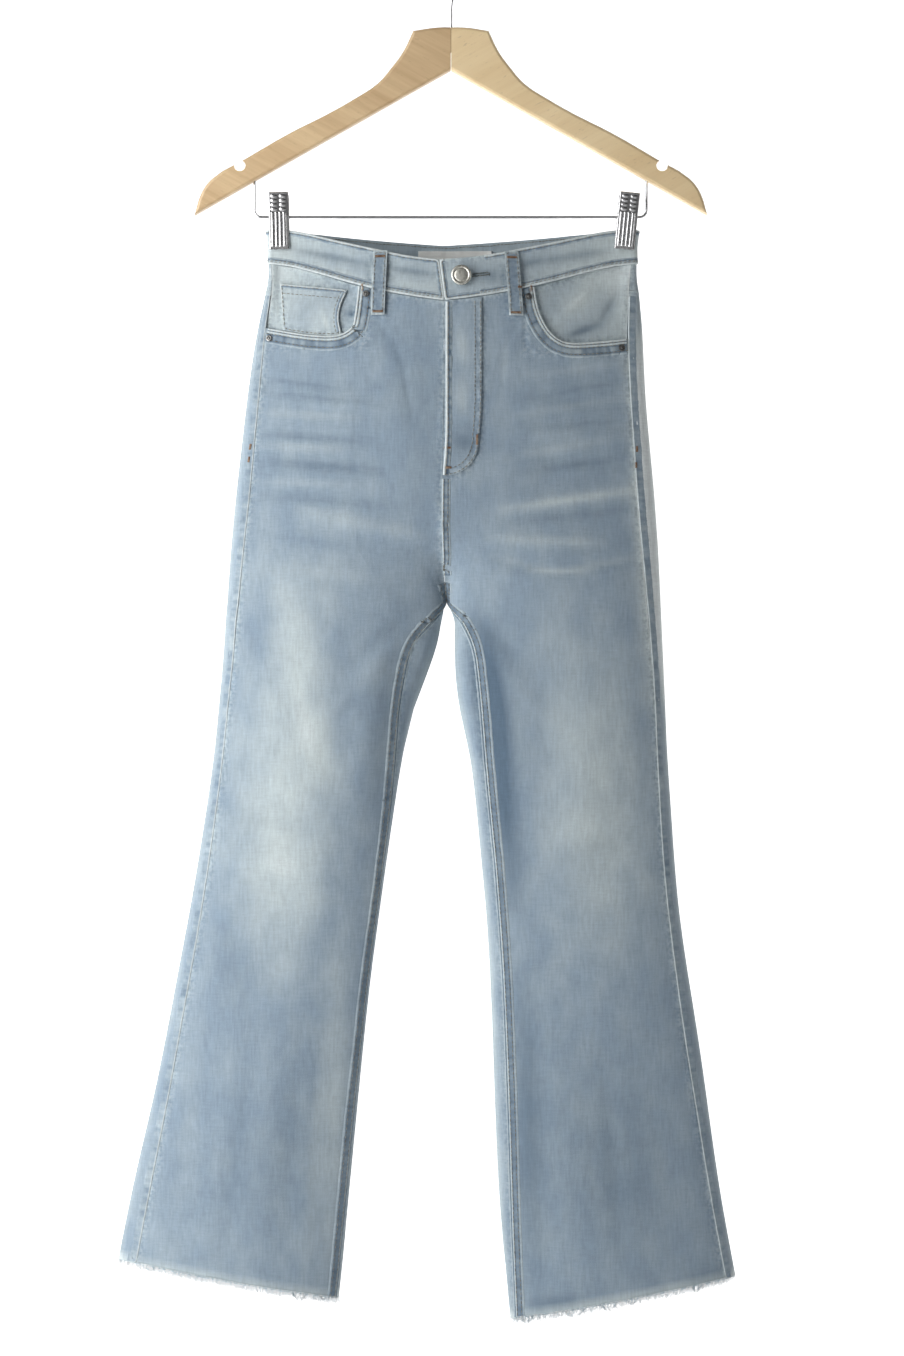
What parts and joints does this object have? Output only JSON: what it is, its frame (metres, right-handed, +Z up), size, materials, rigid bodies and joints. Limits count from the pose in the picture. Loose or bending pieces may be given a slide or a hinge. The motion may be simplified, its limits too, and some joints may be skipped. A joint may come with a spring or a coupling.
{
  "type": "flared jeans on a clip hanger",
  "caption": "High-rise flared denim jeans with a raw frayed hem, five pockets and a button fly, hung flat by the waist from a wooden clip hanger.",
  "frame": {"origin": "inside top of the hanger's hook, where a rail carries it", "axes": "+Z up, -Y the garment's front, +X towards the wearer's left"},
  "size_m": [0.5389, 0.0678, 1.2112],
  "materials": {
    "denim": "light-wash stretch denim twill with faded thighs",
    "fray": "loose white threads",
    "label": "blank woven tape",
    "nickel": "worn nickel button and rivets",
    "beech": "lacquered beech",
    "steel": "bright plated steel wire and clips"
  },
  "bodies": {
    "root": {"front_panel_right": "denim", "front_panel_left": "denim", "back_panel_right": "denim", "back_panel_left": "denim", "back_yoke_right": "denim", "back_yoke_left": "denim", "waistband": "denim", "fly_overlap": "denim", "pocket_facing_right": "denim", "pocket_facing_left": "denim", "coin_pocket": "denim", "back_pocket_right": "denim", "back_pocket_left": "denim", "belt_loop_front_right": "denim", "belt_loop_front_left": "denim", "belt_loop_back_right": "denim", "belt_loop_back_left": "denim", "belt_loop_back_centre": "denim", "hem_fray_right": "fray", "hem_fray_left": "fray", "label": "label", "button": "nickel", "rivet_right_inner": "nickel", "rivet_right_outer": "nickel", "rivet_left_inner": "nickel", "rivet_left_outer": "nickel", "hanger_arm_right": "beech", "hanger_arm_left": "beech", "hanger_hook": "steel", "hanger_bar": "steel", "clip_right_front": "steel", "clip_right_back": "steel", "clip_right_spring": "steel", "clip_left_front": "steel", "clip_left_back": "steel", "clip_left_spring": "steel"}
  },
  "joints": []
}
